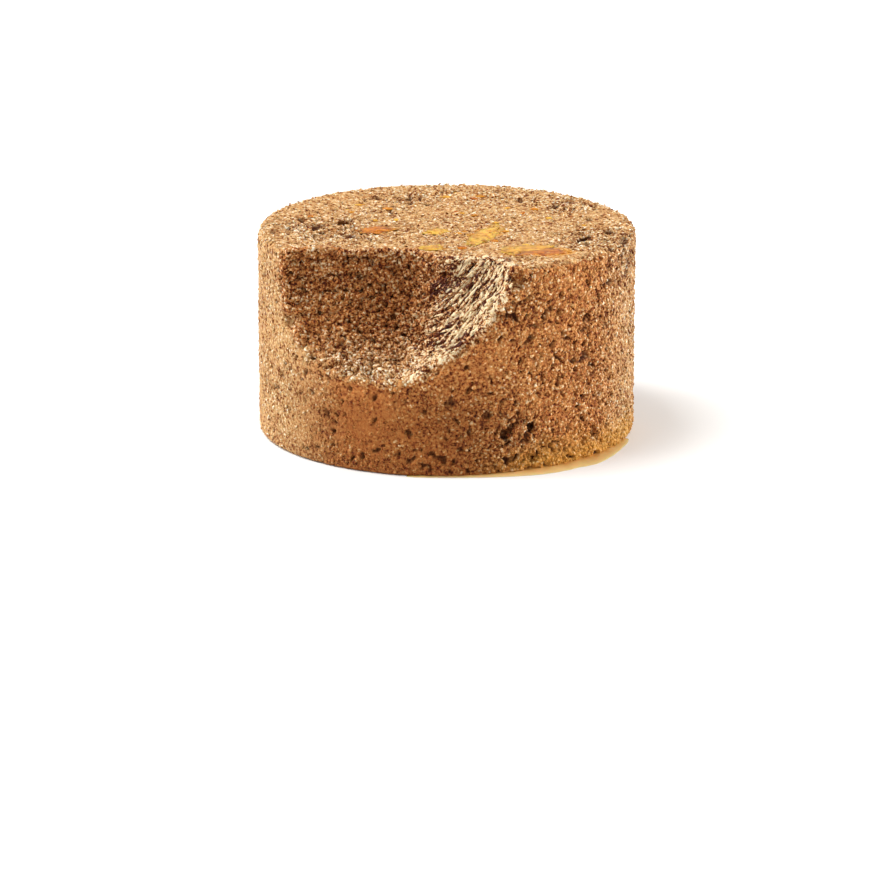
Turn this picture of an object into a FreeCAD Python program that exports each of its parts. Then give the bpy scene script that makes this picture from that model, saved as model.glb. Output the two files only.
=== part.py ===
"""Turned-out loaf of canned meat pate, with one spoonful taken from its upper edge.

The loaf is one solid. It was pressed to shape by its can: a straight wall, a tight shoulder,
and on top the shallow round recess that the can end's raised panel leaves. A tablespoon then
cut a trough from the upper left front, rose to the right and came out, and the grit in the
meat left drag ridges on the rising part. Crumbs broke away from the trough's lip, and voids
that the meat never filled show as small pits.

Frame: millimetres, +Z up, the origin at the middle of the flat foot. The hollow is cut from the
front (-Y) shoulder, a little to the left.
"""

import FreeCAD, Part
import math
import os
import random

import Sketcher
from FreeCAD import Placement, Rotation, Vector

PARTS_FOLDER = "parts"
NODE = "pate_loaf"

# Driving dimensions in millimetres, and angles in degrees: alias, value, what it is.
SIZES = [
    ("loaf_radius", 36.0, "radius of the can's wall inside"),
    ("loaf_height", 39.5, "foot to the top of the rim"),
    ("foot_round", 0.9, "round of the lower edge"),
    ("shoulder_round", 1.7, "round of the upper edge"),
    ("panel_radius", 26.5, "radius of the recess left by the can end's panel"),
    ("panel_drop", 0.55, "depth of that recess"),
    ("panel_slope", 1.6, "width of the slope around the recess"),
    ("spoon_radius", 16.6, "radius in which the spoon's edge swung"),
    ("spoon_front", 34.6, "how far in front of the loaf's axis the swing had its middle"),
    ("spoon_below", 4.9, "how far below the loaf's top the swing had its middle"),
    ("straight_left", 40.0, "where the stroke began, to the left of the axis"),
    ("straight_right", -12.0, "where the spoon started to rise, along X"),
    ("rise_run", 24.4, "how far to the right the spoon travelled while it rose"),
    ("rise_height", 21.7, "how far it rose on that way"),
    ("drift_start", -8.0, "where the spoon started to come forward, along X"),
    ("drift_run", 8.0, "how far to the right it travelled while it came forward"),
    ("drift", 7.0, "how far it came forward"),
    ("ridge_relief", 0.45, "height of the drag ridges on the rising part"),
]
RISE_BEND = 1.6  # 2 is an ellipse's quarter; less starts the rise more firmly
RIDGE_COUNT = 46  # ridges in a whole turn of the swing; about a quarter of them touch the loaf
STRAIGHT_STATIONS = 4
RISE_STATIONS = 13
SECTION_POINTS = 276  # six to a ridge

# Voids along the ring of the can end's panel: from and to which angle, from and to which
# distance from the axis, how many, and half the width of each.
TOP_VOIDS = [
    {"angles": (158, 204), "span": (20.5, 28.0), "count": 9, "radius": 0.85},
    {"angles": (-19, 7), "span": (25.5, 32.0), "count": 7, "radius": 0.8},
    {"angles": (126, 143), "span": (29.0, 32.5), "count": 3, "radius": 0.75},
    {"angles": (20, 52), "span": (25.0, 30.0), "count": 3, "radius": 0.7},
]
# Voids against the can's wall: the same, with heights for the span.
WALL_VOIDS = [
    {"angles": (286, 322), "span": (2.6, 9.5), "count": 7, "radius": 0.85},
    {"angles": (300, 345), "span": (14.0, 30.0), "count": 4, "radius": 0.7},
    {"angles": (40, 75), "span": (12.0, 27.0), "count": 4, "radius": 0.8},
    {"angles": (150, 176), "span": (8.0, 25.0), "count": 3, "radius": 0.75},
]
# Where crumbs broke away from the lip of the trough: from and to which angle, and how many.
LIP_BITES = {"angles": (215, 290), "count": 13, "radius": 2.5}
VOID_SUNK = 0.3  # a void's middle lies this share of its width under the skin
VOID_SEED = 11  # picks the places and turns of the voids


def fill_sheet(doc):
    """Writes the driving dimensions into a spreadsheet, one aliased cell each."""
    sheet = doc.addObject("Spreadsheet::Sheet", "Sizes")
    for row, (alias, value, meaning) in enumerate(SIZES, start=1):
        sheet.set(f"A{row}", meaning)
        sheet.set(f"B{row}", str(value))
        sheet.setAlias(f"B{row}", alias)
    doc.recompute()
    return sheet


def named_constraint(sketch, name, formula, *facts):
    """Adds a dimension to a sketch and binds it to a formula of the sheet's cells."""
    index = sketch.addConstraint(Sketcher.Constraint(*facts))
    sketch.renameConstraint(index, name)
    sketch.setExpression(f"Constraints.{name}", formula)


def quarter_round(centre, radius, start):
    """A quarter of a circle, from an angle in degrees."""
    circle = Part.Circle(centre, Vector(0, 0, 1), radius)
    return Part.ArcOfCircle(circle, math.radians(start), math.radians(start + 90))


def draw_profile(body, size):
    """Draws the half section: foot, rounded edge, wall, shoulder, rim and the panel's recess."""
    sketch = body.newObject("Sketcher::SketchObject", "LoafProfile")
    plane = next(f for f in body.Origin.OriginFeatures if f.Role == "XZ_Plane")
    sketch.AttachmentSupport = [(plane, "")]
    sketch.MapMode = "FlatFace"

    wall_x, top = size.loaf_radius, size.loaf_height
    foot_round, shoulder_round = size.foot_round, size.shoulder_round
    floor = top - size.panel_drop
    foot_centre = Vector(wall_x - foot_round, foot_round, 0)
    shoulder_centre = Vector(wall_x - shoulder_round, top - shoulder_round, 0)
    corners = {
        "foot_middle": Vector(0, 0, 0),
        "foot_edge": Vector(foot_centre.x, 0, 0),
        "wall_low": Vector(wall_x, foot_centre.y, 0),
        "wall_high": Vector(wall_x, shoulder_centre.y, 0),
        "rim_outer": Vector(shoulder_centre.x, top, 0),
        "rim_inner": Vector(size.panel_radius + size.panel_slope, top, 0),
        "panel_edge": Vector(size.panel_radius, floor, 0),
        "panel_middle": Vector(0, floor, 0),
    }

    def line(start, end):
        return sketch.addGeometry(Part.LineSegment(corners[start], corners[end]))

    foot = line("foot_middle", "foot_edge")
    foot_arc = sketch.addGeometry(quarter_round(foot_centre, foot_round, 270))
    wall = line("wall_low", "wall_high")
    shoulder = sketch.addGeometry(quarter_round(shoulder_centre, shoulder_round, 0))
    rim = line("rim_outer", "rim_inner")
    slope = line("rim_inner", "panel_edge")
    panel = line("panel_edge", "panel_middle")
    axis = line("panel_middle", "foot_middle")

    start, end, origin = 1, 2, -1
    facts = [
        ("Coincident", foot, start, origin, start),
        ("Horizontal", foot),
        ("Tangent", foot, end, foot_arc, start),
        ("Tangent", foot_arc, end, wall, start),
        ("Vertical", wall),
        ("Tangent", wall, end, shoulder, start),
        ("Tangent", shoulder, end, rim, start),
        ("Horizontal", rim),
        ("Coincident", rim, end, slope, start),
        ("Coincident", slope, end, panel, start),
        ("Horizontal", panel),
        ("Coincident", panel, end, axis, start),
        ("Coincident", axis, end, foot, start),
        ("Vertical", axis),
    ]
    for fact in facts:
        sketch.addConstraint(Sketcher.Constraint(*fact))

    from_origin = (origin, start)
    named_constraint(sketch, "foot_round", "Sizes.foot_round", "Radius", foot_arc, foot_round)
    named_constraint(
        sketch, "shoulder_round", "Sizes.shoulder_round", "Radius", shoulder, shoulder_round
    )
    rim_x = corners["rim_inner"].x
    distances = [
        ("wall_reach", "Sizes.loaf_radius", "DistanceX", wall, start, wall_x),
        ("height", "Sizes.loaf_height", "DistanceY", rim, end, top),
        ("rim_reach", "Sizes.panel_radius + Sizes.panel_slope", "DistanceX", rim, end, rim_x),
        ("panel_height", "Sizes.loaf_height - Sizes.panel_drop", "DistanceY", panel, start, floor),
        ("panel_reach", "Sizes.panel_radius", "DistanceX", panel, start, size.panel_radius),
    ]
    for name, formula, kind, edge, point, value in distances:
        named_constraint(sketch, name, formula, kind, *from_origin, edge, point, value)
    return sketch


def mould_loaf(doc, size):
    """The loaf as it left the can: the half section turned about the can's axis."""
    body = doc.addObject("PartDesign::Body", "MouldedLoaf")
    sketch = draw_profile(body, size)
    turned = body.newObject("PartDesign::Revolution", "TurnedLoaf")
    turned.Profile = sketch
    turned.ReferenceAxis = (sketch, ["V_Axis"])
    turned.Angle = 360.0
    sketch.Visibility = False
    body.Tip = turned
    doc.recompute()
    return body


def stroke_stations(size):
    """The spoon's way as places along X, each with the share of the rise's run, 0 to 1."""
    for number in range(STRAIGHT_STATIONS):
        share = number / STRAIGHT_STATIONS
        yield -size.straight_left + share * (size.straight_left + size.straight_right), 0.0
    for number in range(RISE_STATIONS):
        run = math.sin(math.pi / 2 * number / (RISE_STATIONS - 1))
        yield size.straight_right + size.rise_run * run, run


def stroke_middle(size, x, run):
    """The middle of the swing at one station. The run is the share of the rise's way, 0 to 1."""
    share = min(max((x - size.drift_start) / size.drift_run, 0.0), 1.0)
    forward = size.spoon_front + size.drift * share**2 * (3 - 2 * share)
    lift = size.rise_height * (1 - math.sqrt(1 - run**RISE_BEND))
    return Vector(x, -forward, size.loaf_height - size.spoon_below + lift)


def swing_section(size, x, run):
    """The swing of the spoon's edge at one station: a circle, ridged more the further it rose."""
    middle = stroke_middle(size, x, run)
    relief = size.ridge_relief * run * (2 - run)
    points = []
    for number in range(SECTION_POINTS):
        angle = 2 * math.pi * number / SECTION_POINTS
        radius = size.spoon_radius - relief * (0.5 + 0.5 * math.cos(RIDGE_COUNT * angle))
        points.append(middle + Vector(0, radius * math.sin(angle), radius * math.cos(angle)))
    curve = Part.BSplineCurve()
    curve.interpolate(Points=points, PeriodicFlag=True)
    return Part.Wire(curve.toShape())


def spoon_stroke(doc, size):
    """All that the spoon swept: it cuts a straight trough, then rises to the right and comes out.

    The sections are lofted along the way, so the ridges run as the spoon was drawn."""
    sections = []
    for number, (x, run) in enumerate(stroke_stations(size)):
        section = doc.addObject("Part::Feature", f"SwingSection{number}")
        section.Shape = swing_section(size, x, run)
        sections.append(section)
    stroke = doc.addObject("Part::Loft", "SpoonStroke")
    stroke.Sections = sections
    stroke.Solid = True
    stroke.Ruled = False
    doc.recompute()
    return stroke


def ball(doc, name, place, outward, along, radii):
    """An ellipsoid that cuts a void: its axes are the skin's normal and two across it."""
    shape = doc.addObject("Part::Ellipsoid", name)
    shape.Radius1, shape.Radius2, shape.Radius3 = radii
    shape.Angle1, shape.Angle2, shape.Angle3 = -90, 90, 360
    shape.Placement = Placement(place, Rotation(along, Vector(), outward, "ZXY"))
    return shape


def void_shape(chance, radius):
    """Depth, length and width of one void, as half axes."""
    width = radius * chance.uniform(0.75, 1.15)
    return width, width * chance.uniform(1.1, 2.1), width * 0.8


def voids_on_top(doc, size, chance):
    """The voids in the top. Most are long along the panel's ring."""
    balls = []
    for cluster in TOP_VOIDS:
        for _ in range(cluster["count"]):
            angle = math.radians(chance.uniform(*cluster["angles"]))
            reach = chance.uniform(*cluster["span"])
            radii = void_shape(chance, cluster["radius"])
            skin = size.loaf_height
            if reach < size.panel_radius:
                skin -= size.panel_drop
            place = Vector(reach * math.cos(angle), reach * math.sin(angle), 0)
            place.z = skin - VOID_SUNK * radii[0]
            heading = angle + math.radians(90 + chance.uniform(-35, 35))
            along = Vector(math.cos(heading), math.sin(heading), 0)
            balls.append(ball(doc, f"TopVoid{len(balls)}", place, Vector(0, 0, 1), along, radii))
    return balls


def voids_in_wall(doc, size, chance):
    """The voids in the wall, turned any way."""
    balls = []
    for cluster in WALL_VOIDS:
        for _ in range(cluster["count"]):
            angle = math.radians(chance.uniform(*cluster["angles"]))
            radii = void_shape(chance, cluster["radius"])
            outward = Vector(math.cos(angle), math.sin(angle), 0)
            across = Vector(-outward.y, outward.x, 0)
            place = outward * (size.loaf_radius - VOID_SUNK * radii[0])
            place.z = chance.uniform(*cluster["span"])
            turn = math.radians(chance.uniform(-80, 80))
            along = across * math.cos(turn) + Vector(0, 0, 1) * math.sin(turn)
            balls.append(ball(doc, f"WallVoid{len(balls)}", place, outward, along, radii))
    return balls


def lip_height(size, x, y):
    """The height at which the stroke leaves the wall, at a place on the wall."""
    run = min(max((x - size.straight_right) / size.rise_run, 0.0), 1.0)
    middle = stroke_middle(size, x, run)
    return middle.z - math.sqrt(size.spoon_radius**2 - (y - middle.y) ** 2)


def bites_in_lip(doc, size, chance):
    """Where crumbs broke away from the lip, so that its line wavers."""
    first, last = LIP_BITES["angles"]
    balls = []
    for number in range(LIP_BITES["count"]):
        share = (number + chance.uniform(-0.3, 0.3)) / (LIP_BITES["count"] - 1)
        angle = math.radians(first + share * (last - first))
        outward = Vector(math.cos(angle), math.sin(angle), 0)
        across = Vector(-outward.y, outward.x, 0)
        radius = LIP_BITES["radius"] * chance.uniform(0.75, 1.1)
        place = outward * (size.loaf_radius + 0.2 * radius)
        place.z = min(lip_height(size, place.x, place.y) + 0.6 * radius, size.loaf_height - radius)
        radii = (radius, radius * chance.uniform(0.9, 1.4), radius * 0.9)
        balls.append(ball(doc, f"LipBite{number}", place, outward, across, radii))
    return balls


def cut(doc, name, base, tool):
    """Base less tool, with the volume checked so that a cut that misses is noticed."""
    result = doc.addObject("Part::Cut", name)
    result.Base = base
    result.Tool = tool
    doc.recompute()
    if not result.Shape.Volume < base.Shape.Volume:
        raise RuntimeError(f"{name} cut nothing")
    return result


def check(doc, result):
    """Stops if any object failed, or if the loaf isn't one valid solid."""
    failed = [o.Name for o in doc.Objects if {"Invalid", "Error"} & set(o.State)]
    if failed:
        raise RuntimeError(f"failed objects: {failed}")
    shape = result.Shape
    if shape.isNull() or not shape.isValid() or len(shape.Solids) != 1:
        raise RuntimeError("the loaf isn't one valid solid")


def main():
    doc = FreeCAD.newDocument("PateLoaf")
    size = fill_sheet(doc)
    loaf = mould_loaf(doc, size)
    scooped = cut(doc, "ScoopedLoaf", loaf, spoon_stroke(doc, size))
    pits = doc.addObject("Part::MultiFuse", "Voids")
    chance = random.Random(VOID_SEED)
    makers = (voids_on_top, voids_in_wall, bites_in_lip)
    pits.Shapes = [shape for maker in makers for shape in maker(doc, size, chance)]
    doc.recompute()
    result = cut(doc, "PateLoaf", scooped, pits)
    result.Label = NODE
    check(doc, result)

    os.makedirs(PARTS_FOLDER, exist_ok=True)
    result.Shape.exportStep(os.path.join(PARTS_FOLDER, f"{result.Label}.step"))
    box = result.Shape.optimalBoundingBox()
    print(f"{NODE}: {box.XLength:.2f} x {box.YLength:.2f} x {box.ZLength:.2f} mm")
    print(f"volume {result.Shape.Volume / 1000:.1f} cm3, {len(result.Shape.Faces)} faces")


main()
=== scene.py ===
"""A turned-out loaf of canned meat pate with one spoonful gone, for the looks.

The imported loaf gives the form. Its skin is remeshed finely and gets the relief that a can, a
spoon and a torn edge each leave: pressed meat with voids, smeared drag marks, and raw crumb.
Loose grains, flecks of jelly and a little juice at the foot are pieces of their own.
"""

import math

import bmesh
import bpy
import numpy as np
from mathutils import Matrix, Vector, noise


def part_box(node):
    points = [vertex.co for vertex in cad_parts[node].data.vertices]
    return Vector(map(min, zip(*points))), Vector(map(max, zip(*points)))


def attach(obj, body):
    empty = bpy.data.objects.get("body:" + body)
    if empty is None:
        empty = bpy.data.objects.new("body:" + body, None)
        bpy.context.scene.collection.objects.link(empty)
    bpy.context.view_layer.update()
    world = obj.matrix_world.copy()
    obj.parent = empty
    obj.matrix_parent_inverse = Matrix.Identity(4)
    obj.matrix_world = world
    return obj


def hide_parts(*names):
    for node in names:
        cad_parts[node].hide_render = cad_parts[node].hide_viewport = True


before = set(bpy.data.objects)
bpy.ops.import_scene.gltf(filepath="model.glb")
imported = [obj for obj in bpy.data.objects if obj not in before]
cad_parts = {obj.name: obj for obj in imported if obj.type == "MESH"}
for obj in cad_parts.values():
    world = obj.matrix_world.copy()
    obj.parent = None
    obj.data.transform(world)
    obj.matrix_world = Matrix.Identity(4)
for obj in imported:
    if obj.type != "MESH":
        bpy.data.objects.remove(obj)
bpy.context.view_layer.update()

MM = 0.001
LOW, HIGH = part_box("pate_loaf")
RADIUS = (HIGH.x - LOW.x) / 2 / MM
HEIGHT = (HIGH.z - LOW.z) / MM

# Lengths below are in millimetres, and angles in degrees.

# The spoon's stroke, as the solid has it: a circle about a middle line that runs straight from
# the left, then comes forward and rises to the right.
SPOON_RADIUS = 16.6
SPOON_FRONT = 34.6
SPOON_BELOW = 4.9
RISE_START = -12.0
RISE_RUN = 24.4
RISE_HEIGHT = 21.7
RISE_BEND = 1.6
DRIFT_START = -8.0
DRIFT_RUN = 8.0
DRIFT = 7.0

SKIN_VOXEL = 0.41  # the grain of the meat is two to four of these
SKIN_SUNK = 0.16  # the pressed skin lies this far inside the can's size, and grains reach it
FOOT_FLAT = 0.35  # below this the underside is left flat
PANEL_DEPTH = 0.55  # how far the can's end pressed the top in, and where that starts and ends
PANEL_EDGE = (30.0, 26.5)

# Pressed meat: the size of its grains, how deep the gaps between them are, and its voids.
PRESSED_GRAIN = 1.3
GAP_DEPTH = 0.20
VOID_DEPTH = 0.75
# Torn crumb: lumps, the crumbs on them, and the depth of the holes between.
LUMP = 2.2
CRUMB = 1.05
HOLE_DEPTH = 0.85
# Smeared meat: its ridges and its slots, each by length and width, and the slots' depth.
RIDGE = (5.5, 1.15)
SLOT = (4.0, 0.9)
SLOT_DEPTH = 0.75
DRAG_CLIMB = 0.22  # how far the drag marks climb the wall for each millimetre of the stroke

# What each vertex keeps for the materials: torn or dragged meat, hollows, which take painted
# shade, coarseness, jelly, paleness from fat and from painted light, soaked-up juice, lightness,
# painted shade, and its place along and across the spoon's stroke.
MARKS = ("torn", "drag", "hollow", "rough", "jelly", "pale", "stain", "tint", "shade")
MARKS += ("along", "across")

# The meat's tones, from the gaps between grains to the palest fat: pressed, pale with fat and
# painted light, and smeared.
# Their darkest stops also paint shade in pits and gaps, and their palest stops paint glints of wet
# gloss, beside real specks of lean and fat.
GRAIN_TONES = [
    (0.02, "#4A1A0A"), (0.20, "#8E4720"), (0.34, "#BC733B"),
    (0.62, "#D28F50"), (0.80, "#E4AC6E"), (0.97, "#FFE6C0"),
]
PALE_TONES = [
    (0.02, "#602912"), (0.18, "#9F6435"), (0.34, "#BF905A"),
    (0.62, "#CDA36F"), (0.80, "#D9B988"), (0.94, "#FFF4DC"),
]
# The palest smeared tones also paint highlights of the wet gloss, beside the streaks of fat.
WET_TONES = [(0.12, "#4A1A0A"), (0.36, "#965425"), (0.58, "#D89A5E"), (0.84, "#FCE4B8")]
SHADE_TONE = "#D2C8BC"  # dims the meat that lies in its own shade
JUICE_STAIN = "#E2A544"  # juice that soaked up from the foot
JELLY_STAIN = "#C88424"  # meat just under a fleck of jelly
VOID_SHADE_TONE = "#421C0A"  # painted shade at the bottom of a void and in the gaps between grains

# Patterns in the meat, by real size.
SPECK = 0.52  # the finest specks of fat and lean
PATCH = 2.8  # patches where one or the other is more common
STREAK_LENGTH = 7.0  # streaks of fat that the spoon drew out
STREAK_WIDTH = 1.35

# Sockets of a Mix node that mixes colours: its inputs, and its result.
FACTOR, UNDER, OVER, BLENDED = 0, 6, 7, 2

# Places where the pressed skin is coarse and full of voids: middle, reach, how much.
COARSE_PATCHES = [
    ((12.6, -33.8, 31), 3.0, 0.32),
    ((-23, -3, 39), 14.0, 0.54),
    ((29, -10, 39), 12.0, 0.54),
    ((-8, 24, 39), 9.0, 0.28),
    ((24, 18, 39), 9.0, 0.26),
    ((13, -33, 4), 12.0, 0.26),
    ((26, -24, 24), 9.0, 0.22),
    ((-30, 19, 12), 12.0, 0.20),
    ((16, 32, 26), 12.0, 0.22),
]

# The larger flecks of jelly and fat in the top: middle x and y, length, width, turn, and how
# amber they are, 0 to 1. Small ones are strewn between them.
JELLY_FLECKS = [
    (-13.4, -1.5, 6.0, 5.0, 20, 0.9),
    (-1.8, -2.8, 4.6, 4.2, 0, 0.1),
    (7.2, -5.5, 16.0, 4.6, 72, 0.25),
    (-3.0, -15.8, 4.6, 4.2, 40, 0.1),
    (14.8, -18.0, 10.5, 8.6, 30, 0.35),
    (18.8, -21.4, 9.6, 6.0, 10, 0.90),
]
FLECK_THICK = 0.31
FLECK_SUNK = 0.24
SMALL_FLECKS = 46
SMALL_FLECK_SIZES = (0.9, 2.2)
SMALL_FLECK_THICK = 0.34

# The juice at the foot: first and last angle, width and depth in the middle, how far it goes
# under the loaf, and how it thins outward by share of the way and share of the depth.
JUICE_FROM, JUICE_TO = -102, -16
JUICE_WIDTH = 3.9
JUICE_DEPTH = 0.40
JUICE_UNDER = 1.6
JUICE_SLOPE = [(0.25, 1.0), (0.5, 0.78), (0.75, 0.52), (0.9, 0.34), (0.97, 0.18), (1.0, 0.0)]
JUICE_STEPS = 220

# The camera: how far it looks down, how many loaf heights away it is, its lens, and how far
# below and left of the loaf's middle it aims.
CAMERA_TILT = 14.8
CAMERA_AWAY = 22
CAMERA_LENS = 188.0
AIM_BELOW = 1.40
AIM_LEFT = 0.145

# Soft lights, in metres and watts: name, place, size, power. All face the loaf's middle.
SOFT_LIGHTS = [
    ("overhead_left", (-0.45, -0.08, 1.0), 0.6, 11.0),
    ("left_behind", (-1.0, 0.20, 0.40), 0.5, 6.6),
    ("right_behind", (0.95, 0.15, 0.40), 0.5, 11.0),
]
LIGHTS_AIM = (0, 0, 0.02)
ROOM_LIGHT = 0.48

chance = np.random.default_rng(4)
noise.seed_set(4)  # noise_vector takes its offsets from this, and from the clock without it


# ---------------------------------------------------------------- small helpers


def linear(hex_code):
    """An sRGB hex colour as the linear RGBA that shaders take."""
    value = int(hex_code.lstrip("#"), 16)
    channels = [((value >> shift) & 255) / 255 for shift in (16, 8, 0)]
    light = [c / 12.92 if c <= 0.04045 else ((c + 0.055) / 1.055) ** 2.4 for c in channels]
    return (*light, 1.0)


def ramp(value, start, end):
    """0 before start, 1 after end, smooth between. Start may be the larger."""
    share = min(max((value - start) / (end - start), 0.0), 1.0)
    return share * share * (3 - 2 * share)


def uneven(p, size, shift=(0, 0, 0)):
    """Smooth noise of a size in mm, between -1 and 1. Each shift gives a pattern of its own."""
    return noise.noise(p / size + Vector(shift))


def cells(p, size):
    """Distance to the nearest and next cell of that size, and a random number of the nearest."""
    distances, places = noise.voronoi(p / size)
    return distances[0], distances[1], noise.cell(places[0] * 7.31)


def inside_can(p):
    """The place, moved back if it would stand out of the size that the can gave."""
    reach = math.hypot(p.x, p.y)
    if reach > RADIUS:
        p.x, p.y = p.x * RADIUS / reach, p.y * RADIUS / reach
    p.z = min(max(p.z, 0.0), HEIGHT)
    return p


def add_piece(name, mesh, material):
    """A finished mesh as a piece that rides with the loaf."""
    piece = bpy.data.objects.new(name, mesh)
    bpy.context.scene.collection.objects.link(piece)
    mesh.materials.clear()
    mesh.materials.append(material)
    mesh.polygons.foreach_set("use_smooth", [True] * len(mesh.polygons))
    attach(piece, "root")
    return piece


def set_attribute(mesh, name, values):
    """One number for each vertex, for the materials to read."""
    layer = mesh.attributes.new(name, "FLOAT", "POINT")
    layer.data.foreach_set("value", np.asarray(values, np.float32))


# ---------------------------------------------------------------- where things are on the loaf


def stroke_middle(x):
    """The middle of the spoon's swing at a place along X, and the share of the rise's run."""
    run = min(max((x - RISE_START) / RISE_RUN, 0.0), 0.999)
    forward = SPOON_FRONT + DRIFT * ramp(x, DRIFT_START, DRIFT_START + DRIFT_RUN)
    lift = RISE_HEIGHT * (1 - math.sqrt(1 - run**RISE_BEND))
    return Vector((x, -forward, HEIGHT - SPOON_BELOW + lift)), run


def stroke_place(p):
    """How far a point is inside the swing, how far round it from straight below, and the run."""
    middle, run = stroke_middle(p.x)
    y, z = p.y - middle.y, p.z - middle.z
    return SPOON_RADIUS - math.hypot(y, z), SPOON_RADIUS * math.atan2(y, -z), run


def stroke_heading(p):
    """The way the spoon was going at a point, as a unit vector."""
    step = 0.25
    return (stroke_middle(p.x + step)[0] - stroke_middle(p.x - step)[0]).normalized()


def coarseness(p):
    """How full of voids the pressed skin is at a place, beyond its roughness."""
    total = 0.0
    for place, reach, much in COARSE_PATCHES:
        total += much * ramp((p - Vector(place)).length, reach, reach / 3)
    return total


def wall_roughness(p, n, coarse):
    """How coarse the pressed skin is: finer on the left and low in front, coarser on the right."""
    side = ramp(p.x, -20.0, 20.0)
    smooth_patch = ramp(math.hypot(p.x + 11, (p.z - 8) * 1.3), 12.0, 5.0) * ramp(p.y, -20, -30)
    wall = 0.50 + 0.42 * side - 0.16 * smooth_patch
    top = ramp(n.z, 0.5, 0.9)
    stray = 0.35 * uneven(p, 9.0, (1, 5, 2))
    return min(max(wall + (0.72 - wall) * top + stray + coarse, 0.12), 1.25)


def jelly_share(p, n):
    """How much jelly is at a place on the top: 1 inside a fleck, 0 outside."""
    if n.z < 0.6:
        return 0.0
    q = p + noise.noise_vector(p / 2.2) * 1.6
    share = 0.0
    for x, y, length, width, turn, _ in JELLY_FLECKS:
        c, s = math.cos(math.radians(turn)), math.sin(math.radians(turn))
        along, across = (q.x - x) * c + (q.y - y) * s, (q.y - y) * c - (q.x - x) * s
        share = max(share, ramp(math.hypot(along / length, across / width), 0.62, 0.42))
    return share


def fat_bloom_and_painted_light(p, n):
    """How pale the pressed skin is, with fat and painted light: most on the lit top and the left,
    a little less on the right, both edges as a painted sheen, and a little on the far side.
    """
    left, right = ramp(p.x, -17.0, -31.0), 0.85 * ramp(p.x, 27.0, 35.0)
    return max(ramp(n.z, 0.3, 0.8), left, right, 0.35 * ramp(p.y, 0.0, 22.0))


def deep_corner(p):
    """The painted shade on the hollow's back wall, darkest where the stroke went deepest."""
    return 0.65 + 0.75 * ramp((p - Vector((-7, -21, 26))).length, 15.0, 5.0)


def low_front(p):
    """The lower front of the wall, darkened with painted shade: 1 in its middle."""
    return ramp(p.z, 21.0, 10.0) * ramp(abs(p.x + 8.0), 27.0, 12.0) * ramp(p.y, 0.0, -10.0)


def juice_stain(p):
    """How far the juice has soaked up the wall at a place: 1 at the foot, front right."""
    angle = math.degrees(math.atan2(p.y, p.x))
    reach = 7.0 + 3.0 * uneven(p, 4.0)
    return ramp(p.z, reach, 1.0) * ramp(abs(angle + 38.0), 48.0, 18.0)


# ---------------------------------------------------------------- relief: height and hollow


def pressed_relief(p, rough, coarse, scratched):
    """Meat pressed against the can: a flat skin with gaps between the grains, and voids."""
    swell = 0.10 * uneven(p, 8.0)
    lumps = 0.13 * rough * uneven(p, 2.3, (3, 0, 8))
    near, far, _ = cells(p, PRESSED_GRAIN)
    gaps = -GAP_DEPTH * rough * (1 - ramp(far - near, 0.0, 0.30))
    warp = noise.noise_vector(p / 2.0) * 0.9
    crowd = 0.22 * rough - 0.06 + 0.12 * uneven(p, 7.0, (9, 0, 4))
    void = ramp(uneven(p + warp, 1.25, (40, 2, 7)), 0.44 - crowd, 0.66 - crowd)
    if coarse > 0:
        wide = uneven(p + warp * 1.6, 2.1, (7, 50, 3))
        wide_void = ramp(wide, 0.36 - 0.45 * coarse, 0.52 - 0.45 * coarse) * ramp(coarse, 0.0, 0.2)
        void = max(void, wide_void * (1.0 + 0.55 * uneven(p, 0.9, (6, 6, 1))))
    scratch = 0.0
    if scratched > 0:
        scratch = 0.16 * scratched * noise.noise(Vector((p.x / 0.8, p.y / 0.8, p.z / 7.0)))
    fine = 0.10 * rough * uneven(p, 0.85)
    relief = swell + lumps + gaps + fine + scratch - VOID_DEPTH * void
    return relief, min(void, 0.85) + 0.5 * abs(gaps) / GAP_DEPTH


def torn_relief(p):
    """Raw crumb: grains of every size stand out, with holes between."""
    near, _, pick = cells(p, LUMP)
    lump = 0.45 * (0.55 - near) + 0.30 * (pick - 0.5)
    near, _, pick = cells(p + Vector((5, 17, 2)), CRUMB)
    crumb = 0.42 * (0.5 - near) + 0.35 * (pick - 0.5)
    hole = ramp(uneven(p, 1.1, (2, 8, 40)), 0.16, 0.44)
    return lump + crumb - HOLE_DEPTH * hole, 0.75 * hole + 0.5 * ramp(near, 0.36, 0.7)


def dragged_relief(along, across):
    """Meat smeared by the back of the spoon: ridges along its way, broken by grit and slots.

    The outer edge of the smear has no slots."""
    edge = ramp(across, 8.0, 12.0)
    across -= DRAG_CLIMB * along
    q = Vector((along / RIDGE[0], across / RIDGE[1], 0.0))
    ridge = 0.52 * noise.noise(q) + 0.20 * noise.noise(q * 2.1 + Vector((3, 9, 1)))
    near, _, _ = cells(Vector((along * 0.35, across, 4.0)), 1.1)
    grit = 0.24 * (0.5 - near)
    slot = noise.noise(Vector((along / SLOT[0], across / SLOT[1], 7.0)))
    slot = edge * ramp(slot, 0.22, 0.50)
    return ridge + grit - SLOT_DEPTH * slot, slot


# ---------------------------------------------------------------- the skin


def remeshed_loaf():
    """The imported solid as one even, closed net of small quads."""
    bm = bmesh.new()
    bm.from_mesh(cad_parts["pate_loaf"].data)
    bmesh.ops.remove_doubles(bm, verts=bm.verts, dist=0.002 * MM)
    mesh = bpy.data.meshes.new("loaf_core")
    bm.to_mesh(mesh)
    bm.free()
    core = bpy.data.objects.new("loaf_core", mesh)
    bpy.context.scene.collection.objects.link(core)
    remesh = core.modifiers.new("net", "REMESH")
    remesh.mode = "VOXEL"
    remesh.voxel_size = SKIN_VOXEL * MM
    remesh.adaptivity = 0.0
    graph = bpy.context.evaluated_depsgraph_get()
    net = bpy.data.meshes.new_from_object(core.evaluated_get(graph))
    bpy.data.objects.remove(core)
    return net


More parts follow.
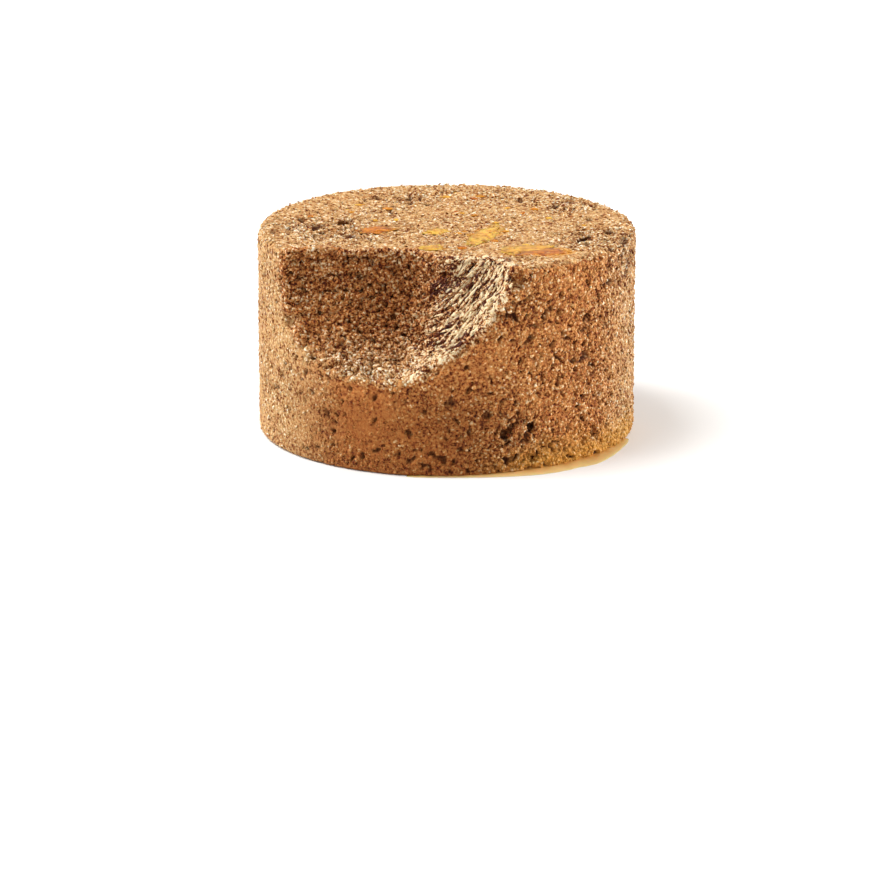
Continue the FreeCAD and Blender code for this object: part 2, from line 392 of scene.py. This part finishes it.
def flatten_underside(mesh):
    """Joins the faces of the flat foot into one, since nothing shows there."""
    bm = bmesh.new()
    bm.from_mesh(mesh)
    limit = FOOT_FLAT * MM
    under = [f for f in bm.faces if all(v.co.z < limit for v in f.verts) and f.normal.z < -0.9]
    bmesh.ops.dissolve_faces(bm, faces=under, use_verts=True)
    bm.to_mesh(mesh)
    bm.free()


def carved(p, n):
    """Where a point of the skin goes, in mm, and its marks in the order of MARKS."""
    inside, across, run = stroke_place(p)
    torn = ramp(inside + 0.5 * uneven(p, 1.6), -1.0, -0.2)
    drag = torn * ramp(run + 0.22 * uneven(p, 2.5) - 0.008 * across, 0.06, 0.42)
    along = RISE_RUN * math.asin(run)
    coarse = coarseness(p)
    rough = wall_roughness(p, n, coarse)
    scratched = ramp(p.x, -27.0, -33.0) * ramp(abs(n.z), 0.5, 0.2)
    height, hollow = pressed_relief(p, rough, coarse, scratched)
    shoulder = max(0.0, 1.0 - abs(2.0 * n.z - 1.0)) if p.z > 3.0 else 0.0
    height -= SKIN_SUNK + 0.55 * shoulder * max(0.0, uneven(p, 1.7) + 0.12)
    if torn > 0:
        raw, raw_hollow = torn_relief(p)
        if drag > 0:
            smear, smear_hollow = dragged_relief(along, across)
            raw += (smear - raw) * drag
            raw_hollow += (smear_hollow - raw_hollow) * drag
        height += (raw - height) * torn
        hollow += (raw_hollow - hollow) * torn
    place = inside_can(p + n * height * ramp(p.z, 0.0, FOOT_FLAT * 2))

    # Painted shade on the hollow's back wall and on the low front of the wall.
    back = ramp(across, 3.0, 17.0)
    shade = 0.6 * torn * (1 - drag) * back * deep_corner(p)
    shade = max(shade, low_front(p) * (1 - torn))
    # Paleness: fat and painted light on the pressed skin, and painted light on the hollow's floor
    # and lip.
    pale = fat_bloom_and_painted_light(p, n) * (1 - torn) + 0.85 * torn * (1 - drag) * (1 - back)
    jelly = jelly_share(p, n) * (1 - torn)
    tint = 0.38 + 0.75 * drag * ramp(across, 13.0, 9.0)
    stain = juice_stain(p)
    return place, (torn, drag, hollow, rough, jelly, pale, stain, tint, shade, along, across)


def carve_skin(mesh):
    """Moves each vertex by the relief of its place, and keeps what the materials need to know."""
    places, marks = [], []
    for vertex in mesh.vertices:
        place, values = carved(vertex.co / MM, vertex.normal)
        places.append(place * MM)
        marks.append(values)
    mesh.vertices.foreach_set("co", np.array(places, np.float32).ravel())
    mesh.update()
    for name, values in zip(MARKS, np.array(marks, np.float32).T):
        set_attribute(mesh, name, values)


# ---------------------------------------------------------------- loose grains


def crumb_shapes(count):
    """A few uneven crumbs of unit size: their corners, and the faces that they all share."""
    corners = []
    for _ in range(count):
        bm = bmesh.new()
        bmesh.ops.create_icosphere(bm, subdivisions=1, radius=1.0)
        corners.append([v.co * chance.uniform(0.72, 1.25) for v in bm.verts])
        faces = [[v.index for v in f.verts] for f in bm.faces]
        bm.free()
    return np.array(corners, np.float32), np.array(faces, np.int32)


def turned_to(normals, hints):
    """Turns, one for each normal: first axis along the hint as near as the skin lets it lie."""
    along = hints - normals * (hints * normals).sum(1, keepdims=True)
    along /= np.linalg.norm(along, axis=1, keepdims=True) + 1e-9
    return np.stack([along, np.cross(normals, along), normals], axis=2)


def strewn(name, shapes, places, turns, halves, marks):
    """One mesh of many crumbs, each with its place, turn and half sizes in millimetres."""
    corners, faces = shapes
    count, size = len(places), corners.shape[1]
    picked = corners[np.arange(count) % len(corners)] * halves[:, None, :]
    points = np.einsum("nij,nkj->nki", turns, picked) + places[:, None, :]
    points = points.reshape(-1, 3)
    over = np.maximum(np.hypot(points[:, 0], points[:, 1]) / RADIUS, 1.0)
    points[:, :2] /= over[:, None]
    points[:, 2] = points[:, 2].clip(0.0, HEIGHT)
    sides = (faces[None, :, :] + (np.arange(count) * size)[:, None, None]).astype(np.int32)
    mesh = bpy.data.meshes.new(name)
    mesh.vertices.add(len(points))
    mesh.vertices.foreach_set("co", (points * MM).astype(np.float32).ravel())
    mesh.loops.add(sides.size)
    mesh.loops.foreach_set("vertex_index", sides.ravel())
    mesh.polygons.add(sides.size // 3)
    mesh.polygons.foreach_set("loop_start", np.arange(0, sides.size, 3, dtype=np.int32))
    mesh.update(calc_edges=True)
    for key, values in marks.items():
        set_attribute(mesh, key, np.repeat(values, size))
    return mesh


def face_table(mesh):
    """For every face of the skin: middle in mm, normal, and the mean of each mark."""
    count = len(mesh.polygons)
    table = {"place": np.empty(count * 3), "normal": np.empty(count * 3)}
    mesh.polygons.foreach_get("center", table["place"])
    mesh.polygons.foreach_get("normal", table["normal"])
    table = {key: values.reshape(-1, 3) for key, values in table.items()}
    table["place"] /= MM
    starts, corners = np.empty(count, np.int32), np.empty(len(mesh.loops), np.int32)
    mesh.polygons.foreach_get("loop_start", starts)
    mesh.loops.foreach_get("vertex_index", corners)
    sizes = np.diff(np.append(starts, len(corners)))
    for name in MARKS:
        values = np.empty(len(mesh.vertices), np.float32)
        mesh.attributes[name].data.foreach_get("value", values)
        table[name] = np.add.reduceat(values[corners], starts) / sizes
    table["shown"] = (sizes < 6) & (table["place"][:, 2] > 0.8)
    return table


def grain_piece(name, table, weights, count, material, sizes, shape, sunk, dragged=False):
    """Crumbs strewn over the skin where the weights say.

    Sizes are the smallest and largest half width; shape is length and thickness against width;
    sunk is the share of the thickness that lies in the skin."""
    weights = weights * table["shown"]
    picks = chance.choice(len(weights), size=count, p=weights / weights.sum())
    normals = table["normal"][picks]
    places = table["place"][picks] + chance.uniform(-0.5, 0.5, (count, 3)) * SKIN_VOXEL
    wide = sizes[0] + (sizes[1] - sizes[0]) * chance.random(count) ** 2
    length = wide * (1 + (shape[0] - 1) * chance.random(count))
    halves = np.stack([length, wide, wide * shape[1]], axis=1)
    hints = chance.normal(size=(count, 3))
    if dragged:
        headings = np.array([stroke_heading(Vector(place)) for place in places])
        hints = 0.10 * hints + headings + DRAG_CLIMB * np.cross(normals, headings)
    leaning = normals + chance.normal(size=(count, 3)) * 0.25
    leaning /= np.linalg.norm(leaning, axis=1, keepdims=True)
    places -= normals * (sunk * halves[:, 2])[:, None]
    marks = {key: table[key][picks] for key in MARKS}
    marks["tint"] = chance.random(count)
    # Grains in a void take a little of its painted shade.
    marks["hollow"] = 0.35 * table["hollow"][picks]
    mesh = strewn(name, CRUMBS, places, turned_to(leaning, hints), halves, marks)
    add_piece(name, mesh, material)


def strew_grains(mesh, meat, wet):
    """The loose grains: pressed into the skin, torn crumb, dragged shreds, crumbs of the lip."""
    table = face_table(mesh)
    torn, drag = table["torn"], table["drag"]
    pressed = (1 - torn) * (1 - 0.88 * table["jelly"]) * (0.15 + table["rough"]) ** 2
    pressed = pressed * (1 - table["hollow"]).clip(0, 1) ** 2
    top, front = table["pale"] > 0.5, table["place"][:, 1] < 0
    flat, crumbly, long = (1.6, 0.45), (1.5, 0.8), (9.0, 0.9)
    for name, weights, count, sizes, shape, sunk in (
        ("grains_top", pressed * top, 8500, (0.18, 0.46), flat, 0.35),
        ("grains_front", pressed * ~top * front, 9600, (0.18, 0.46), flat, 0.35),
        ("grains_back", pressed * ~top * ~front, 9000, (0.18, 0.46), flat, 0.35),
        ("torn_crumbs", torn * (1 - drag), 6000, (0.20, 0.62), crumbly, 0.3),
        ("dragged_shreds", drag**2, 2600, (0.13, 0.32), long, 0.3),
        ("lip_crumbs", torn * (1 - torn) * 4, 800, (0.35, 0.9), crumbly, 0.15),
    ):
        dragged = name == "dragged_shreds"
        material = wet if dragged else meat
        grain_piece(name, table, weights, count, material, sizes, shape, sunk, dragged)


# ---------------------------------------------------------------- jelly and juice


def panel_height(x, y):
    """The height of the dished top at a place, in mm."""
    return HEIGHT - PANEL_DEPTH * ramp(math.hypot(x, y), *PANEL_EDGE)


def small_flecks():
    """Small flecks strewn over the top, clear of the hollow and the coarse patches."""
    flecks = []
    for _ in range(SMALL_FLECKS):
        reach, angle = 29.0 * math.sqrt(chance.random()), chance.uniform(0, math.tau)
        size = chance.uniform(*SMALL_FLECK_SIZES)
        spot = (reach * math.cos(angle), reach * math.sin(angle))
        place = Vector((*spot, HEIGHT))
        if stroke_place(place)[0] < -2.0 and coarseness(place) < 0.1:
            width = size * chance.uniform(0.5, 1.0)
            turn, amber = chance.uniform(0, 180), chance.random()
            flecks.append((*spot, size, width, turn, amber, SMALL_FLECK_THICK))
    return flecks


def jelly_pieces(material):
    """Flecks of jelly and fat that set in the top: flat, uneven and a little proud."""
    bm = bmesh.new()
    values = []
    flecks = [(*fleck, FLECK_THICK) for fleck in JELLY_FLECKS] + small_flecks()
    for number, (x, y, length, width, turn, amber, thick) in enumerate(flecks):
        steps = 4 if number < len(JELLY_FLECKS) else 2
        made = bmesh.ops.create_icosphere(bm, subdivisions=steps, radius=1.0)
        c, s = math.cos(math.radians(turn)), math.sin(math.radians(turn))
        for vertex in made["verts"]:
            q = vertex.co.copy()
            swell = 1 + 0.50 * noise.noise(q * 1.7 + Vector((number * 5.3, 1, 2)))
            swell += 0.34 * noise.noise(q * 3.6 + Vector((2, number * 3.1, 2)))
            u, v = q.x * swell * length / 2, q.y * swell * width / 2
            lift = q.z * thick * (0.8 + 0.4 * noise.noise(Vector((u, v, number)) / 0.9))
            height = panel_height(x, y) + lift - FLECK_SUNK
            vertex.co = inside_can(Vector((x + u * c - v * s, y + u * s + v * c, height))) * MM
        values += [amber] * len(made["verts"])
    mesh = bpy.data.meshes.new("jelly_flecks")
    bm.to_mesh(mesh)
    bm.free()
    set_attribute(mesh, "amber", values)
    add_piece("jelly_flecks", mesh, material)


def juice_piece(material):
    """Thin juice that ran out to the front right, held against the foot.

    It is a closed strip of rings, each an outline of the juice at one angle. It narrows where it
    would leave the square that the can's size fills."""
    rings, film = [], []
    bm = bmesh.new()
    for index in range(JUICE_STEPS + 1):
        angle = math.radians(JUICE_FROM + (JUICE_TO - JUICE_FROM) * index / JUICE_STEPS)
        share = math.sin(math.pi * index / JUICE_STEPS)
        lobes = 1 + 0.42 * noise.noise(Vector((angle * 5, 3, 1)))
        lobes += 0.12 * noise.noise(Vector((angle * 19, 8, 1)))
        width = JUICE_WIDTH * share**0.8 * lobes
        c, s = math.cos(angle), math.sin(angle)
        room = min(RADIUS / max(abs(c), 1e-6), RADIUS / max(abs(s), 1e-6)) - RADIUS
        outer = RADIUS - 0.03 + width * room / (room + width + 1e-6)
        deep = JUICE_DEPTH * share**0.5 + 0.02
        inner, foot = RADIUS - JUICE_UNDER, RADIUS - 0.5
        section = [(inner, 0.0), (inner, deep * 1.5), (foot, deep * 1.4)]
        film += [1.0] * len(section) + [1 - t for t, _ in JUICE_SLOPE]
        section += [(foot + (outer - foot) * t, deep * h) for t, h in JUICE_SLOPE]
        rings.append([bm.verts.new(Vector((r * c, r * s, z)) * MM) for r, z in section])
    for ring, after in zip(rings, rings[1:]):
        for k in range(len(ring)):
            m = (k + 1) % len(ring)
            bm.faces.new((ring[k], after[k], after[m], ring[m]))
    bm.faces.new(rings[0])
    bm.faces.new(reversed(rings[-1]))
    bmesh.ops.recalc_face_normals(bm, faces=bm.faces)
    mesh = bpy.data.meshes.new("juice")
    bm.to_mesh(mesh)
    bm.free()
    set_attribute(mesh, "film", film)
    add_piece("juice", mesh, material)


# ---------------------------------------------------------------- materials


def add(tree, kind, inputs=(), want=0, stops=(), **settings):
    """Adds a node with its settings and links, and gives back the output that is wanted.

    Inputs go by socket, or in order: each is a number, a hex colour or another node's output.
    Stops are those of a colour ramp: position and hex colour."""
    node = tree.nodes.new("ShaderNode" + kind)
    for name, value in settings.items():
        setattr(node, name, value)
    for key, value in inputs.items() if isinstance(inputs, dict) else enumerate(inputs):
        if isinstance(value, bpy.types.NodeSocket):
            tree.links.new(value, node.inputs[key])
        else:
            plain = linear(value) if isinstance(value, str) else value
            node.inputs[key].default_value = plain
    for index, (position, code) in enumerate(stops):
        elements = node.color_ramp.elements
        element = elements[index] if index < len(elements) else elements.new(position)
        element.position, element.color = position, linear(code)
    return node.outputs[want] if node.outputs else node


def new_material(name):
    """An empty material and its node tree."""
    material = bpy.data.materials.new(name)
    material.use_nodes = True
    material.node_tree.nodes.clear()
    return material, material.node_tree


def cooked_meat(name, wetness):
    """Cooked meat emulsion: ground meat and liver set by heat in the can.

    The eye sees tan-brown grains of uneven colour, dark gaps and a moist, soft gloss, which
    sharpens where the spoon drew the juice out."""
    material, tree = new_material(name)
    place = add(tree, "TexCoord", want="Object")
    mark = {key: add(tree, "Attribute", want="Fac", attribute_name=key) for key in MARKS}
    speck = add(
        tree, "TexNoise",
        {"Vector": place, "Scale": 1 / (SPECK * MM), "Detail": 3.0, "Roughness": 0.65},
    )
    patch = add(tree, "TexNoise", {"Vector": place, "Scale": 1 / (PATCH * MM), "Detail": 3.0})
    drop = add(tree, "Math", (mark["along"], DRAG_CLIMB), operation="MULTIPLY")
    level = add(tree, "Math", (mark["across"], drop), operation="SUBTRACT")
    run = add(tree, "Math", (mark["along"], 1 / STREAK_LENGTH), operation="MULTIPLY")
    row = add(tree, "Math", (level, 1 / STREAK_WIDTH), operation="MULTIPLY")
    way = add(tree, "CombineXYZ", (run, row))
    streak = add(
        tree, "TexNoise", {"Vector": way, "Scale": 1.0, "Detail": 4.0, "Roughness": 0.7}
    )

    # How far the tone strays with the specks: further where the meat is coarse, torn or pale with
    # fat and painted light.
    spread = 0.95
    for key, weight in (("rough", 1.8), ("torn", 1.8), ("pale", 0.9)):
        spread = add(tree, "Math", (mark[key], weight, spread), operation="MULTIPLY_ADD")
    # The tone, from dark to pale: each part as value, its middle and its weight.
    parts = [
        (speck, 0.5, spread),
        (mark["tint"], 0.0, 0.42),
        (patch, 0.5, 0.55),
    ]
    smeared = [
        (streak, 0.479, 7.4),
        (mark["across"], 7.0, -0.020),
        (mark["along"], 12.0, 0.010),
    ]
    for value, middle, weight in smeared:
        weight = add(tree, "Math", (mark["drag"], weight), operation="MULTIPLY")
        parts.append((value, middle, weight))
    tone = 0.26
    for value, middle, weight in parts:
        value = add(tree, "Math", (value, middle), operation="SUBTRACT")
        tone = add(tree, "Math", (value, weight, tone), operation="MULTIPLY_ADD")

    # The colour: by tone for each sort of meat, then one layer over another.
    tables = (GRAIN_TONES, PALE_TONES, WET_TONES)
    colour, fat_and_light_colour, wet = (add(tree, "ValToRGB", (tone,), stops=stops) for stops in tables)
    layers = [
        # The pale tones: fat, with painted light over the top and the edges.
        ("pale", 1.0, fat_and_light_colour, "MIX"),
        ("drag", 1.0, wet, "MIX"),
        # Painted shade, on the hollow's back wall and the low front of the wall.
        ("shade", 1.0, SHADE_TONE, "MULTIPLY"),
        ("stain", 0.60, JUICE_STAIN, "MIX"),
        ("jelly", 0.70, JELLY_STAIN, "MIX"),
        # Painted shade in voids, holes, slots and the gaps between grains.
        ("hollow", 0.80, VOID_SHADE_TONE, "MIX"),
    ]
    for key, share, over, how in layers:
        share = add(tree, "Math", (mark[key], share), operation="MULTIPLY")
        colour = add(
            tree, "Mix", {FACTOR: share, UNDER: colour, OVER: over}, BLENDED,
            data_type="RGBA", blend_type=how,
        )

    ridges = add(tree, "Math", (streak, mark["drag"]), operation="MULTIPLY")
    height = add(tree, "Math", (ridges, 1.6, speck), operation="MULTIPLY_ADD")
    bump = add(tree, "Bump", {"Height": height, "Strength": 0.8, "Distance": 0.3 * MM})
    low, high = 0.45 - 0.3 * wetness, 0.65 - 0.3 * wetness
    dry = add(tree, "MapRange", {"Value": speck, "To Min": low, "To Max": high})
    rough = add(tree, "Math", (mark["drag"], -0.12, dry), operation="MULTIPLY_ADD")
    shader = add(tree, "BsdfPrincipled", {
        "Base Color": colour,
        "Roughness": rough,
        "Normal": bump,
        "IOR": 1.42,
        "Specular IOR Level": 0.12 + 0.20 * wetness,
        "Subsurface Weight": 0.12,
        "Subsurface Scale": 0.8 * MM,
        "Subsurface Radius": (1.0, 0.45, 0.2),
    })
    add(tree, "OutputMaterial", {"Surface": shader})
    return material


def set_jelly():
    """Aspic and pale fat: clear amber to butter yellow, soft inside and glossy."""
    material, tree = new_material("aspic_and_fat")
    place = add(tree, "TexCoord", want="Object")
    cloud = add(tree, "TexNoise", {"Vector": place, "Scale": 1 / (1.2 * MM), "Detail": 2.0})
    amber = add(tree, "Attribute", want="Fac", attribute_name="amber")
    clear = add(tree, "ValToRGB", (cloud,), stops=[(0.35, "#7C3408"), (0.65, "#C26C14")])
    butter = add(tree, "ValToRGB", (cloud,), stops=[(0.35, "#B67C2A"), (0.65, "#E2B24A")])
    colour = add(
        tree, "Mix", {FACTOR: amber, UNDER: butter, OVER: clear}, BLENDED, data_type="RGBA"
    )
    bump = add(tree, "Bump", {"Height": cloud, "Strength": 0.5, "Distance": 0.3 * MM})
    shader = add(tree, "BsdfPrincipled", {
        "Base Color": colour,
        "Normal": bump,
        "Roughness": 0.22,
        "IOR": 1.36,
        "Specular IOR Level": 0.2,
        "Subsurface Weight": 0.5,
        "Subsurface Scale": 1.5 * MM,
        "Subsurface Radius": (1.0, 0.6, 0.25),
    })
    add(tree, "OutputMaterial", {"Surface": shader})
    return material


def thin_juice():
    """Clear amber juice of cooked meat: a thin, shiny film, palest where it is thinnest."""
    material, tree = new_material("meat_juice")
    place = add(tree, "TexCoord", want="Object")
    cloud = add(tree, "TexNoise", {"Vector": place, "Scale": 1 / (3.0 * MM), "Detail": 2.0})
    film = add(tree, "Attribute", want="Fac", attribute_name="film")
    body = add(tree, "ValToRGB", (cloud,), stops=[(0.3, "#B97A34"), (0.7, "#D9A663")])
    colour = add(
        tree, "Mix", {FACTOR: film, UNDER: "#E3BE82", OVER: body}, BLENDED, data_type="RGBA"
    )
    shader = add(tree, "BsdfPrincipled", {
        "Base Color": colour,
        "Roughness": 0.06,
        "IOR": 1.34,
        "Subsurface Weight": 0.4,
        "Subsurface Scale": 1.0 * MM,
    })
    add(tree, "OutputMaterial", {"Surface": shader})
    return material


def pale_table():
    """A white laminate table top, plain and matt."""
    material, tree = new_material("white_laminate")
    shader = add(tree, "BsdfPrincipled", {"Base Color": "#EDEDEB", "Roughness": 0.6})
    add(tree, "OutputMaterial", {"Surface": shader})
    return material


# ---------------------------------------------------------------- the stage


def aim(thing, place, target):
    """Puts a camera or light somewhere and turns it to a target."""
    thing.location = place
    thing.rotation_euler = (Vector(target) - Vector(place)).to_track_quat("-Z", "Y").to_euler()


def make_camera():
    """A long lens that looks down at the loaf and keeps it above the middle of the view."""
    middle = Vector((0, 0, HEIGHT * MM / 2))
    distance = CAMERA_AWAY * HEIGHT * MM
    tilt = math.radians(CAMERA_TILT)
    data = bpy.data.cameras.new("camera")
    data.lens = CAMERA_LENS
    data.clip_start, data.clip_end = 0.05, 20
    camera = bpy.data.objects.new("camera", data)
    bpy.context.scene.collection.objects.link(camera)
    place = middle + distance * Vector((0, -math.cos(tilt), math.sin(tilt)))
    below = distance * math.tan(math.radians(AIM_BELOW)) / math.cos(tilt)
    left = distance * math.tan(math.radians(AIM_LEFT))
    aim(camera, place, middle + Vector((-left, 0, -below)))
    bpy.context.scene.camera = camera


def make_stage():
    """The table, three soft lights and an even white room."""
    bm = bmesh.new()
    bmesh.ops.create_grid(bm, x_segments=1, y_segments=1, size=6.0)
    mesh = bpy.data.meshes.new("table")
    bm.to_mesh(mesh)
    bm.free()
    mesh.materials.append(pale_table())
    table = bpy.data.objects.new("table", mesh)
    bpy.context.scene.collection.objects.link(table)

    for name, place, size, watts in SOFT_LIGHTS:
        data = bpy.data.lights.new(name, "AREA")
        data.shape, data.size, data.energy = "SQUARE", size, watts
        light = bpy.data.objects.new(name, data)
        bpy.context.scene.collection.objects.link(light)
        aim(light, place, LIGHTS_AIM)
    world = bpy.data.worlds.new("soft_room")
    world.use_nodes = True
    room = world.node_tree.nodes["Background"].inputs
    room["Color"].default_value = (1, 1, 1, 1)
    room["Strength"].default_value = ROOM_LIGHT
    bpy.context.scene.world = world
    bpy.context.scene.view_settings.view_transform = "Standard"


# ---------------------------------------------------------------- making


make_camera()
make_stage()
MEAT = cooked_meat("cooked_meat_emulsion", 0.0)
WET_MEAT = cooked_meat("wet_smeared_meat", 1.0)

skin_mesh = remeshed_loaf()
flatten_underside(skin_mesh)
carve_skin(skin_mesh)
skin = add_piece("loaf_skin", skin_mesh, MEAT)
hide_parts("pate_loaf")
CRUMBS = crumb_shapes(16)
strew_grains(skin_mesh, MEAT, WET_MEAT)
jelly_pieces(set_jelly())
juice_piece(thin_juice())
